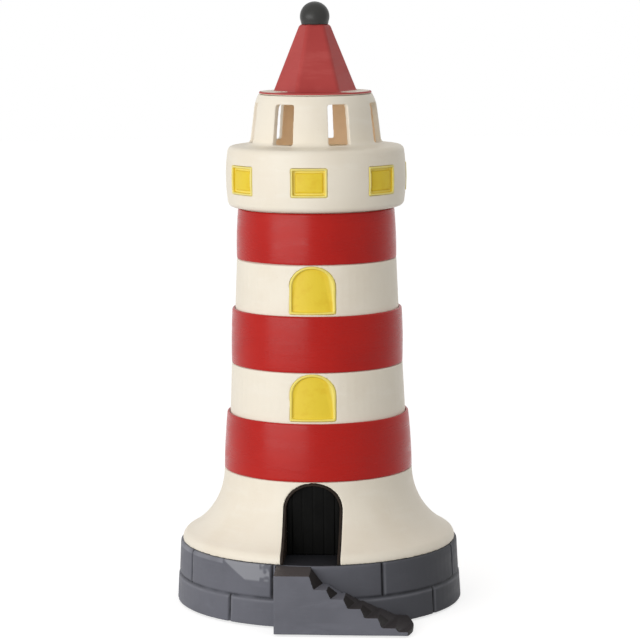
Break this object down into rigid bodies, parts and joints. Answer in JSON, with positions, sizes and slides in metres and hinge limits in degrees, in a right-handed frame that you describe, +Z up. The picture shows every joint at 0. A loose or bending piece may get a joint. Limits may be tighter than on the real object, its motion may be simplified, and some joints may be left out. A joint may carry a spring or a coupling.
{
  "type": "garden lighthouse light",
  "caption": "Hollow lighthouse garden light: striped tower on a stone-look plinth, lift-off gallery and lantern room, screw-in bulb, steps to the door.",
  "frame": {"origin": "on the tower's axis, at the underside of the foot pad", "axes": "+Z up the tower, -Y out of the door towards the steps, +X the way the steps go down"},
  "size_m": [0.1588, 0.1835, 0.3315],
  "materials": {
    "stone_grey": "satin hand-painted grey",
    "cream_paint": "satin hand-painted cream",
    "red_paint": "satin hand-painted red",
    "yellow_pane": "painted yellow",
    "door_black": "satin black",
    "lining_brown": "dark brown",
    "ball_black": "satin dark grey",
    "foam": "closed-cell foam",
    "seal_rubber": "moulded",
    "plate_steel": "powder coated",
    "zinc_steel": "zinc plated",
    "lead_white": "cable sheath",
    "terminal_plastic": "moulded",
    "holder_plastic": "moulded",
    "holder_ceramic": "unglazed",
    "contact_brass": "bright",
    "bulb_metal": "bright",
    "bulb_white": "moulded",
    "bulb_opal": "opal",
    "gland_plastic": "moulded"
  },
  "bodies": {
    "tower": {"plinth": "stone_grey", "stair_block": "stone_grey", "tower_shell": "cream_paint", "red_sleeve_lower": "red_paint", "red_sleeve_middle": "red_paint", "red_sleeve_upper": "red_paint", "window_pane_lower": "yellow_pane", "window_pane_upper": "yellow_pane", "door_lining": "lining_brown", "door_panel": "door_black", "foot_pad": "foam", "base_plate": "plate_steel", "base_gasket": "seal_rubber", "base_screws": "zinc_steel", "tower_screws": "zinc_steel", "bridge_bracket": "zinc_steel", "bridge_screws": "zinc_steel", "stem_tube": "zinc_steel", "stem_nuts": "zinc_steel", "stem_washers": "zinc_steel", "inner_lead": "lead_white", "terminal_block": "terminal_plastic", "terminal_screws": "zinc_steel", "holder_base": "holder_plastic", "holder_skirt": "holder_plastic", "holder_core": "holder_ceramic", "screw_shell": "contact_brass", "centre_tongue": "contact_brass", "gland_body": "gland_plastic", "gland_cap": "gland_plastic", "gland_seal": "seal_rubber", "gland_locknut": "gland_plastic"},
    "top_unit": {"gallery_lantern": "cream_paint", "gallery_window_panes": "yellow_pane", "roof": "red_paint", "ball_finial": "ball_black", "finial_screw": "zinc_steel"},
    "bulb": {"bulb_cap": "bulb_metal", "bulb_contact": "bulb_metal", "bulb_collar": "bulb_white", "bulb_globe": "bulb_opal"}
  },
  "joints": [
    {"name": "top_lift", "type": "slide", "parent": "tower", "child": "top_unit", "axis": [0, 0, 1], "range_m": [0, 0.08]},
    {"name": "bulb_unscrew", "type": "slide", "parent": "tower", "child": "bulb", "axis": [0, 0, 1], "range_m": [0, 0.018]}
  ]
}
